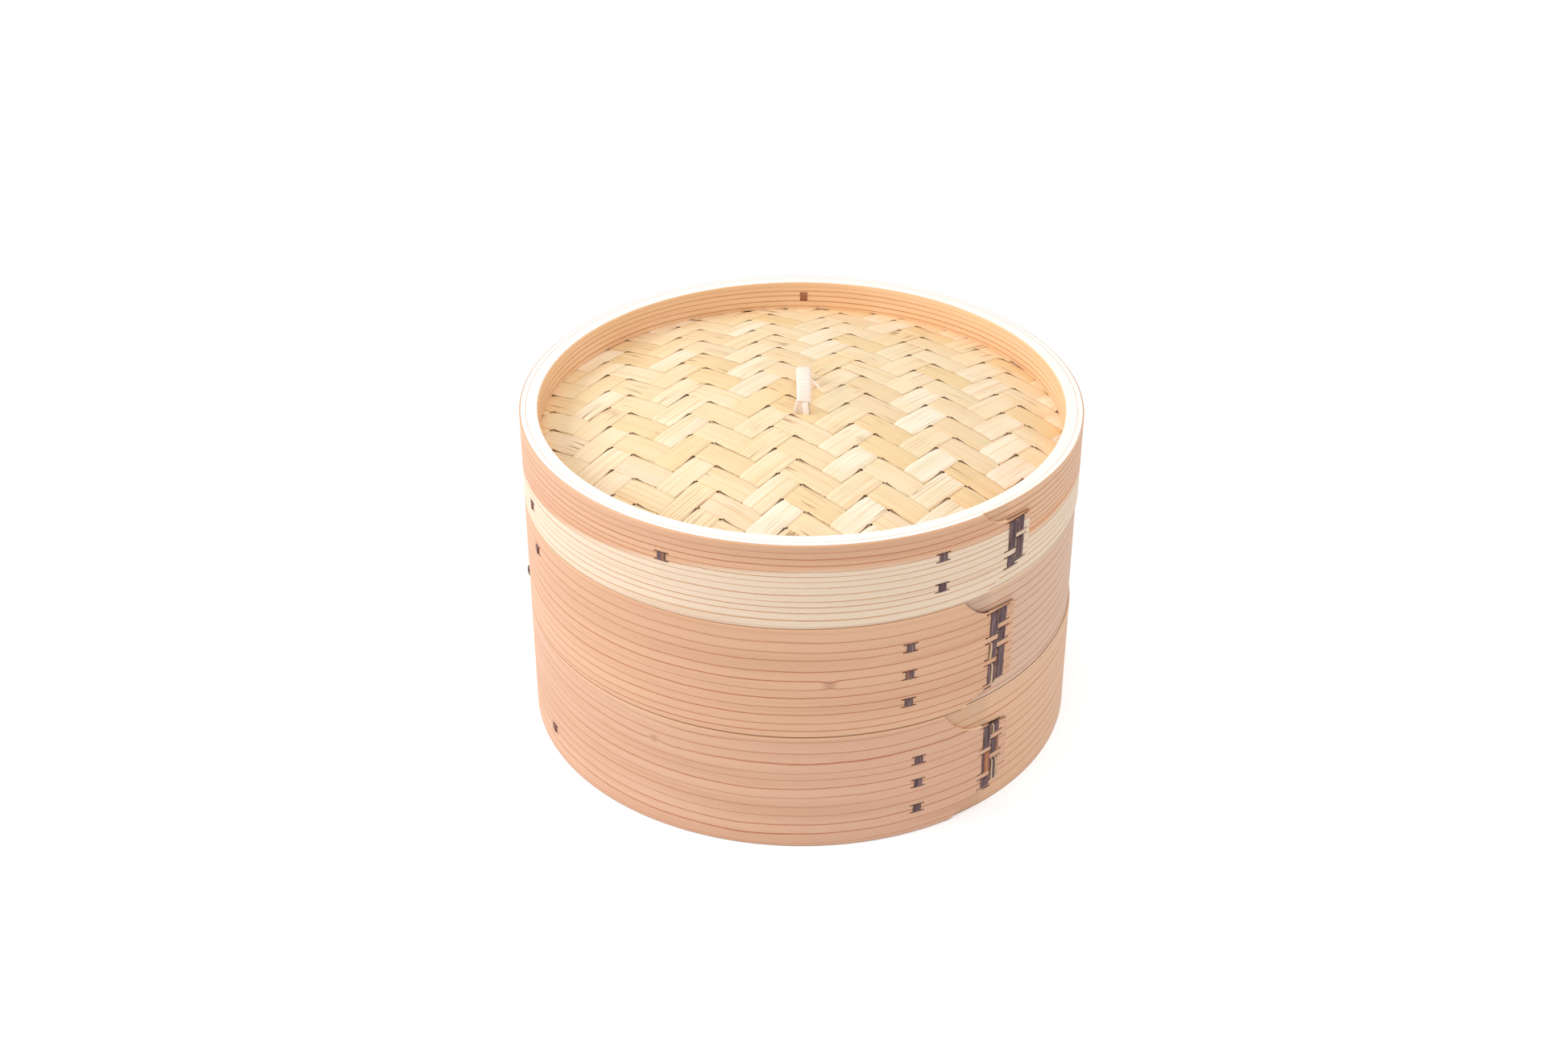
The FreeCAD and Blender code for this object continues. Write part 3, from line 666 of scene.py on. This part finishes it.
WEAVE_PITCH = 12.58 * MM
STRIP_WIDTH = 12.56 * MM
STRIP_THICKNESS = 0.40 * MM
STRIP_LIFT = 0.28 * MM
WEAVE_STEPS = 9
STRIP_CROWN = 0.10 * MM
STRIP_END_INSET = 1.6 * MM
SHORTEST_HALF_STRIP = 4 * MM
MAT_DEPTH = 0.58 * MM  # from the mat's highest point down to the middle of its strips
STRIP_SLIP = 0.12 * MM
STRIP_DRIFT = 0.16 * MM
PINCH = 0.11  # how much narrower a strip is where it changes side


def dome_point(x, y, crown):
    """Point of the dome's surface under a given crown height, and its normal there."""
    radius = DOME_RADIUS - (CROWN - crown)
    centre = Vector((0, 0, CROWN - DOME_RADIUS))
    height = math.sqrt(radius * radius - x * x - y * y)
    return centre + Vector((x, y, height)), Vector((x, y, height)).normalized()


def woven_mat(name, crown, turn, start, material, seed):
    """Twill mat, two over and two under, of two sets of strips at right angles on the dome.

    crown is the height of the mat's highest point, and turn the twill's angle in degrees. start is
    the place of the first strip's edge in each set, measured square to that set.
    """
    maker = random.Random(seed)
    strips = StripMesh()
    section = flat_section(STRIP_WIDTH, STRIP_THICKNESS, 8, crown=STRIP_CROWN)
    middle = crown - MAT_DEPTH
    reach = WEAVE_EDGE_RADIUS - STRIP_END_INSET
    tilt = math.radians(turn)
    first = Vector((math.cos(tilt + math.pi / 4), math.sin(tilt + math.pi / 4), 0))
    second = Vector((math.cos(tilt - math.pi / 4), math.sin(tilt - math.pi / 4), 0))
    count = int(2 * reach / WEAVE_PITCH) + 4
    number = 0
    for own, is_first in ((first, True), (second, False)):
        sideways = Vector((-own.y, own.x, 0))
        own_start = start[0] if is_first else start[1]
        other_start = start[1] if is_first else start[0]
        low = int(math.floor((-reach - own_start) / WEAVE_PITCH)) - 1
        for index in range(low, low + count):
            number += 1
            offset = own_start + (index + 0.5) * WEAVE_PITCH
            tint = maker.random() + (0.0 if is_first else 1.0)
            slip = maker.uniform(-STRIP_SLIP, STRIP_SLIP)
            phase = maker.uniform(0, 100)
            squared_half = reach * reach - offset * offset
            if squared_half <= SHORTEST_HALF_STRIP ** 2:
                continue
            half_length = math.sqrt(squared_half)
            total = int(2 * half_length / (WEAVE_PITCH / WEAVE_STEPS)) + 2
            frames = []
            tails = []
            for step in range(total + 1):
                place = -half_length + 2 * half_length * step / total
                # The first set runs up the other set's count, and the second set runs down it.
                cell = (place if is_first else -place) - other_start
                over, pinch = weave_height(index, cell / WEAVE_PITCH, is_first)
                drift = noise.noise(Vector((place * 30, phase, 0))) * STRIP_DRIFT
                flat = own * place + sideways * (offset + slip + drift)
                point, upward = dome_point(flat.x, flat.y, middle)
                point = point + upward * (over * STRIP_LIFT)
                across = upward.cross(own).normalized()
                frames.append((point, across, upward, place + phase, 1 - PINCH * pinch, over))
                tails.append(edge_shadow(index, cell / WEAVE_PITCH, is_first))
            strips.add(frames, section, tint, number, tails)

    # The strips' ends are trimmed to the round, inside the hoops.
    for vertex in strips.vertices:
        spread = math.hypot(vertex[0], vertex[1])
        if spread > WEAVE_EDGE_RADIUS:
            vertex[0] *= WEAVE_EDGE_RADIUS / spread
            vertex[1] *= WEAVE_EDGE_RADIUS / spread
    return strips.piece(name, material)


def is_over(first_index, second_index):
    """True where a strip of the first set passes over one of the second set."""
    return (second_index - first_index) % 4 in (0, 1)


def edge_shadow(index, cell, is_first):
    """How dark the painted shadow in the gap beside a float is, where its neighbour is also over.

    Its size is 1 at the gap's dark end and 0 where the gap closes. It is negative for a gap at the
    strip's lower side.
    """
    along = (cell - index + (0 if is_first else 3)) % 4
    if along < 1.0:
        return -along
    return along - 1.0 if along < 2.0 else 0.0


def weave_height(index, cell, is_first):
    """Height from -1 to 1 at a place along a strip, and how close a change of side is."""
    here = math.floor(cell - 0.5)
    part = cell - 0.5 - here

    def side(other):
        crossing = is_over(index, other) if is_first else not is_over(other, index)
        return 1.0 if crossing else -1.0

    before = side(here)
    after = side(here + 1)
    if before == after:
        return before * (1.0 - 0.10 * (1 - abs(2 * part - 1))), 0.0
    eased = min(max((part - 0.20) / 0.60, 0.0), 1.0)
    eased = eased * eased * (3 - 2 * eased)
    pinch = max(0.0, 1 - abs(part - 0.5) / 0.42) ** 1.6
    return before + (after - before) * eased, pinch


def add_mats():
    outer_bamboo = strip_material("woven_strip", 0.0)
    top = woven_mat("lid_woven_strips", CROWN, 4.34, (5.93 * MM, -28.24 * MM), outer_bamboo, 11)
    keep(top, "lid_top_weave", "lid")
    inner_bamboo = strip_material("woven_strip_inside", 0.35)
    bottom = woven_mat("lid_underside_strips", BOTTOM_CROWN, 1.0, (3.0 * MM, 5.0 * MM), inner_bamboo, 23)
    keep(bottom, "lid_bottom_weave", "lid")


# ---------------------------------------------------------------- bast lacing and stitches

def runs_of(node):
    """(angle, low, high, width) of every strip run in a CAD node, ordered by angle and then height."""
    mesh = bmesh.new()
    mesh.from_mesh(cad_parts[node].data)
    bmesh.ops.remove_doubles(mesh, verts=mesh.verts, dist=0.001 * MM)
    waiting = set(mesh.verts)
    runs = []
    while waiting:
        group = []
        edge = [waiting.pop()]
        while edge:
            vertex = edge.pop()
            group.append(vertex.co.copy())
            for link in vertex.link_edges:
                other = link.other_vert(vertex)
                if other in waiting:
                    waiting.remove(other)
                    edge.append(other)
        centre = sum(group, Vector()) / len(group)
        turns = [math.atan2(point.y, point.x) for point in group]
        middle = math.atan2(centre.y, centre.x)
        spread = max(abs((turn - middle + math.pi) % (2 * math.pi) - math.pi) for turn in turns)
        low = min(point.z for point in group)
        high = max(point.z for point in group)
        runs.append((math.degrees(middle), low, high, 2 * spread * OUTER_RADIUS))
    mesh.free()
    return sorted(runs, key=lambda run: (round(run[0], 1), -run[1]))


def ridged_section(width, thickness, steps, depth, maker):
    """Closed outline of a flat strip with fibrous ridges along its top."""
    half = width / 2
    top = []
    for index in range(steps + 1):
        side = -1 + 2 * index / steps
        ridge = maker.uniform(-depth, depth)
        round_off = thickness * 0.45 * side ** 6
        top.append((side * half, thickness / 2 + ridge - round_off))
    bottom = [(side, -thickness / 2) for side in (half * 0.96, 0.0, -half * 0.96)]
    return top + bottom


RUN_STEPS = 22
RUN_END_INSET = 0.2 * MM
SLIT_DIVE = 1.9 * MM  # how far a run's end goes down into its slit


def add_run(strips, run, maker, radius, inwards, shape, tint, number):
    """Strip from slit to slit on a hoop's face. shape: (sideways shift, width, thickness, rise)."""
    angle, low, high, full_width = run
    shift, width, thickness, rise = shape
    section = ridged_section(width, thickness, 12, 0.10 * thickness, maker)
    out = -1.0 if inwards else 1.0
    phase = maker.uniform(0, 50)
    frames = []
    points = []
    for step in range(RUN_STEPS + 1):
        part = step / RUN_STEPS
        height = low + RUN_END_INSET + (high - low - 2 * RUN_END_INSET) * part
        from_end = min(height - low, high - height)
        dive = max(0.0, 1 - from_end / (1.0 * MM))
        depth = rise - SLIT_DIVE * dive * dive
        wave = noise.noise(Vector((height * 190, phase, 0)))
        side = shift + 0.30 * MM * wave
        turn = math.radians(angle) + side / radius
        reach = radius + out * (depth + 0.10 * MM * noise.noise(Vector((height * 260, phase, 3))))
        points.append((Vector((reach * math.cos(turn), reach * math.sin(turn), height)), turn, wave))
    for step, (point, turn, wave) in enumerate(points):
        before = points[max(step - 1, 0)][0]
        after = points[min(step + 1, RUN_STEPS)][0]
        along = (after - before).normalized()
        radial = Vector((math.cos(turn), math.sin(turn), 0)) * out
        across = along.cross(radial).normalized()
        upward = across.cross(along).normalized()
        scale = 1 + 0.10 * noise.noise(Vector((point.z * 420, phase, 9)))
        frames.append((point, across, upward, point.z + phase, scale, 0.0))
    strips.add(frames, section, tint, number)


# Extra strips that lie on a lap's lacing, by place in the sorted runs: (sideways shift in mm,
# width in mm, tint). The left column's runs come first, from the top down.
LACING_OVERLAYS = {
    "lid": [(0, -1.1, 1.2, 0.0), (0, 0.9, 1.0, 0.1), (2, 0.7, 1.2, 0.0), (3, 0.5, 1.0, 0.25)],
    "upper": [(0, 1.4, 1.2, 0.1), (1, -1.5, 1.1, 1.0), (2, -0.3, 1.0, 1.0), (3, -1.0, 1.0, 0.2),
              (4, 1.0, 1.0, 0.0), (5, -1.2, 1.2, 0.1)],
    "lower": [(0, 1.2, 1.0, 0.0), (1, 0.2, 2.9, 0.5), (3, -1.7, 0.8, 1.0), (4, 1.2, 0.9, 0.6),
              (5, 1.1, 0.9, 1.0), (5, -1.4, 0.8, 0.9)],
}


def add_bast():
    material = bast_material()
    number = 0
    for body, label in (("lower_tier", "lower"), ("upper_tier", "upper"), ("lid", "lid")):
        maker = random.Random(40 + len(label) + number)
        lacing = StripMesh()
        runs = runs_of(label + "_lap_lacing")
        for run in runs:
            number += 1
            shape = (0.0, run[3] * 0.98, 0.45 * MM, 0.30 * MM)
            add_run(lacing, run, maker, OUTER_RADIUS, False, shape, 0.0, number)
        for place, shift, width, tint in LACING_OVERLAYS[label]:
            number += 1
            shape = (shift * MM, width * MM, 0.35 * MM, 0.62 * MM)
            add_run(lacing, runs[place], maker, OUTER_RADIUS, False, shape, tint, number)
        keep(lacing.piece(label + "_bast_lacing", material), label + "_lap_lacing", body)

        stitches = StripMesh()
        for run in runs_of(label + "_hoop_stitches"):
            number += 1
            shape = (0.0, run[3] * 1.12, 0.45 * MM, 0.25 * MM)
            add_run(stitches, run, maker, OUTER_RADIUS, False, shape, 0.1, number)
            side = maker.choice((-0.9, 0.8))
            shape = (side * MM, 1.3 * MM, 0.35 * MM, 0.55 * MM)
            add_run(stitches, run, maker, OUTER_RADIUS, False, shape, maker.choice((0.1, 0.35)), number)
        keep(stitches.piece(label + "_bast_stitches", material), label + "_hoop_stitches", body)

        node = "lid_inner_hoop_stitch" if label == "lid" else label + "_inner_hoop_stitches"
        bore = LID_BORE_RADIUS if label == "lid" else TIER_BORE_RADIUS
        inner = StripMesh()
        for run in runs_of(node):
            number += 1
            shape = (0.0, 3.4 * MM, 0.45 * MM, 0.30 * MM)
            add_run(inner, run, maker, bore, True, shape, 0.45, number)
        keep(inner.piece(label + "_inner_bast", material), node, body)


def keep(piece, node, body):
    """Puts a piece in the place of a CAD node."""
    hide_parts(node)
    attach(piece, body)


# ---------------------------------------------------------------- loop handle

WRAP_PITCH = 2.1 * MM
WRAP_STRIP_WIDTH = 2.5 * MM
WRAP_THICKNESS = 0.34 * MM
WRAP_STEPS_PER_TURN = 30
WRAP_HALF_WIDTH = 3.05 * MM
WRAP_HALF_HEIGHT = 1.02 * MM
CORE_THICKNESS = 1.3 * MM
TAIL_STEPS = 7
TAIL_STEP_LENGTH = 0.4 * MM


def loop_arch():
    """Place across, half span, spring height and top of the arch that the loop's core follows."""
    core_low, core_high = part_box("lid_loop_core")
    half_span = (core_high.y - core_low.y) / 2 - CORE_THICKNESS / 2
    centre_x = (core_high.x + core_low.x) / 2
    top = core_high.z - CORE_THICKNESS / 2
    spring = CROWN + 0.6 * MM
    return centre_x, half_span, spring, top


def arch_frame(place, shape):
    """Point, direction and outward normal of the arch, and its length; place runs 0 to 1 from the front."""
    centre_x, half_span, spring, top = shape
    rise = top - spring
    radius = (half_span * half_span + rise * rise) / (2 * rise)
    reach = math.asin(half_span / radius)
    turn = (2 * place - 1) * reach
    centre = Vector((centre_x, 0, top - radius))
    outward = Vector((0, math.sin(turn), math.cos(turn)))
    along = Vector((0, math.cos(turn), -math.sin(turn)))
    return centre + outward * radius, along, outward, 2 * reach * radius


def loop_wrap():
    """Strip wound round the loop, and strip ends tucked into the weave at the loop's two feet."""
    shape = loop_arch()
    length = arch_frame(0.5, shape)[3]
    strips = StripMesh()
    section = flat_section(WRAP_STRIP_WIDTH, WRAP_THICKNESS, 4, round_part=0.4)
    start, end = 0.12, 0.98
    turns = (end - start) * length / WRAP_PITCH
    steps = int(turns * WRAP_STEPS_PER_TURN)
    sideways = Vector((1, 0, 0))
    lean = math.radians(6.0)
    centres = []
    for step in range(steps + 1):
        part = step / steps
        place = start + (end - start) * part
        spin = 2 * math.pi * turns * part
        core, along, outward, _ = arch_frame(place, shape)
        swell = 1 + 0.05 * noise.noise(Vector((part * 21, 4, 0)))
        flat_cos = math.copysign(abs(math.cos(spin)) ** 0.7, math.cos(spin))
        flat_sin = math.copysign(abs(math.sin(spin)) ** 0.7, math.sin(spin))
        point = core + sideways * (flat_cos * WRAP_HALF_WIDTH * swell)
        point = point + outward * (flat_sin * WRAP_HALF_HEIGHT * swell)
        normal = (sideways * flat_cos * 0.6 + outward * flat_sin * 1.4).normalized()
        centres.append((point, along, normal))
    frames = []
    for step, (point, along, normal) in enumerate(centres):
        before = centres[max(step - 1, 0)][0]
        after = centres[min(step + 1, steps)][0]
        forward = (after - before).normalized()
        normal = (normal - forward * normal.dot(forward)).normalized()
        across = forward.cross(normal).normalized()
        tilted = across * math.cos(lean) + normal * math.sin(lean)
        normal = normal * math.cos(lean) - across * math.sin(lean)
        frames.append((point, tilted, normal, step * 0.3 * MM, 1.0, 0.0))
    strips.add(frames, section, 0.0, 3)

    # Strip ends, three at the front and two behind: corners in mm from the crown of the dome, width in
    # mm, lean of the strip's width in radians, and strip number.
    tails = [
        ([(-1.6, -13.4, 5.0), (-2.2, -14.8, 3.2), (-2.8, -15.8, 1.2), (-2.9, -16.2, -1.2)], 2.2, 0.35, 5),
        ([(0.8, -13.4, 5.4), (1.0, -15.0, 4.0), (1.3, -16.2, 1.8), (1.4, -16.7, 0.4), (1.4, -16.9, -1.2)],
         3.4, -0.25, 7),
        ([(2.4, -13.2, 4.6), (2.6, -14.6, 3.0), (3.0, -15.6, 1.2), (3.2, -16.0, -1.2)], 1.4, -0.5, 8),
        ([(3.2, 11.4, 4.4), (4.6, 11.0, 2.6), (6.2, 10.0, 1.2), (8.2, 8.4, -0.2), (8.8, 7.9, -1.2)],
         1.5, 0.4, 9),
        ([(0.6, 13.0, 7.0), (0.9, 16.6, 5.6), (1.3, 18.2, 2.8), (1.4, 18.8, -1.2)], 3.4, 0.1, 10),
    ]
    for corners, width, tail_lean, number in tails:
        tail_section = flat_section(width * MM, WRAP_THICKNESS, 4)
        strips.add(tail_frames(corners, tail_lean), tail_section, 0.0, number)
    return strips.piece("lid_loop_winding", cane_material())


def tail_frames(corners, lean):
    """Frames along a smooth line through corners given in mm from the crown of the dome."""
    points = [Vector((x * MM, y * MM, CROWN + z * MM)) for x, y, z in corners]
    line = []
    for index in range(len(points) - 1):
        p0 = points[max(index - 1, 0)]
        p1, p2 = points[index], points[index + 1]
        p3 = points[min(index + 2, len(points) - 1)]
        for step in range(TAIL_STEPS):
            t = step / TAIL_STEPS
            line.append(0.5 * (2 * p1 + (p2 - p0) * t + (2 * p0 - 5 * p1 + 4 * p2 - p3) * t * t
                               + (3 * p1 - p0 - 3 * p2 + p3) * t ** 3))
    line.append(points[-1])
    frames = []
    for index, point in enumerate(line):
        before = line[max(index - 1, 0)]
        after = line[min(index + 1, len(line) - 1)]
        along = (after - before).normalized()
        sideways = Vector((math.cos(lean), math.sin(lean), 0.0))
        upward = sideways.cross(along).normalized()
        if upward.z < 0:
            upward = -upward
        across = along.cross(upward).normalized()
        frames.append((point, across, upward, index * TAIL_STEP_LENGTH, 1.0, 0.0))
    return frames


# ---------------------------------------------------------------- materials of the CAD pieces

def paint(node, material):
    """Gives a CAD node one new material."""
    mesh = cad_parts[node].data
    if not mesh.materials:
        mesh.materials.append(material)
    for index in range(len(mesh.materials)):
        mesh.materials[index] = material


def paint_hoops():
    salmon = rgb(206, 159, 124)
    pinkish = rgb(205, 160, 130)
    dark = rgb(168, 92, 44)
    warm = rgb(246, 206, 164)
    warm_late = rgb(200, 136, 88)
    pale = rgb(220, 196, 170)
    pale_late = rgb(184, 130, 84)
    grey_pink = rgb(204, 168, 141)
    tan = rgb(214, 170, 132)
    white = rgb(255, 248, 240)
    cream = rgb(255, 214, 172)
    lit = rgb(255, 224, 186)
    shaded = rgb(112, 70, 46)

    lower = hoop_wood(
        "lower_outer_fir", LOWER_FOOT, UPPER_FOOT, -48.0, (pinkish, dark, tan, cream), 4.9 * MM, 2.0,
        knot=(-121.0, 46.1 * MM, 2.4 * MM), corner=(-63.0, -51.6, lit),
    )
    upper = hoop_wood(
        "upper_outer_fir", UPPER_FOOT, LID_FOOT, -49.0, (salmon, dark, grey_pink, cream), 4.6 * MM, 6.0,
        knot=(-85.4, 27.7 * MM, 2.6 * MM), corner=(-60.0, -51.6, shaded), foot_shade=0.92,
    )
    lid = hoop_wood(
        "lid_outer_fir", LID_FOOT, LID_RIM, -45.0, (salmon, dark, tan, white), 3.0 * MM, 11.0,
        sapwood=(pale, pale_late), corner=(-56.0, -47.9, lit),
    )
    paint("lower_outer_hoop", lower)
    paint("upper_outer_hoop", upper)
    paint("lid_outer_hoop", lid)

    for tier, foot, seed in (("lower", LOWER_FOOT, 22.0), ("upper", UPPER_FOOT, 26.0)):
        spigot_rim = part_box(tier + "_inner_hoop")[1].z
        tones = (warm, warm_late, warm, cream)
        inner = hoop_wood(tier + "_inner_fir", foot + 9 * MM, spigot_rim, 105.0, tones, 3.4 * MM, seed)
        paint(tier + "_inner_hoop", inner)
        paint(tier + "_support_hoop", inner)
    tones = (warm, warm_late, warm, white)
    inner = hoop_wood("lid_inner_fir", LID_FOOT + 9 * MM, LID_RIM, -75.0, tones, 2.6 * MM, 31.0)
    paint("lid_inner_hoop", inner)
    paint("lid_support_hoop", inner)


def paint_bamboo():
    slats = split_bamboo("floor_slat_bamboo", 0, rgb(226, 190, 138), 3.0)
    bars = split_bamboo("crossbar_bamboo", 1, rgb(214, 172, 118), 5.0)
    pins = split_bamboo("pin_bamboo", 2, rgb(196, 150, 98), 7.0)
    ribs = split_bamboo("rib_bamboo", 0, rgb(222, 184, 130), 9.0)
    for tier in ("lower", "upper"):
        paint(tier + "_floor_slats", slats)
        paint(tier + "_crossbar_left", bars)
        paint(tier + "_crossbar_right", bars)
        paint(tier + "_slat_pins", pins)
    paint("lid_crown_rib_upper", ribs)
    paint("lid_crown_rib_lower", ribs)
    paint("lid_leaf_liner", leaf_material())
    paint("lid_loop_core", split_bamboo("loop_core_cane", 1, rgb(240, 214, 184), 13.0))


add_camera()
add_studio()
paint_hoops()
paint_bamboo()
add_mats()
add_bast()
keep(loop_wrap(), "lid_loop_wrap", "lid")
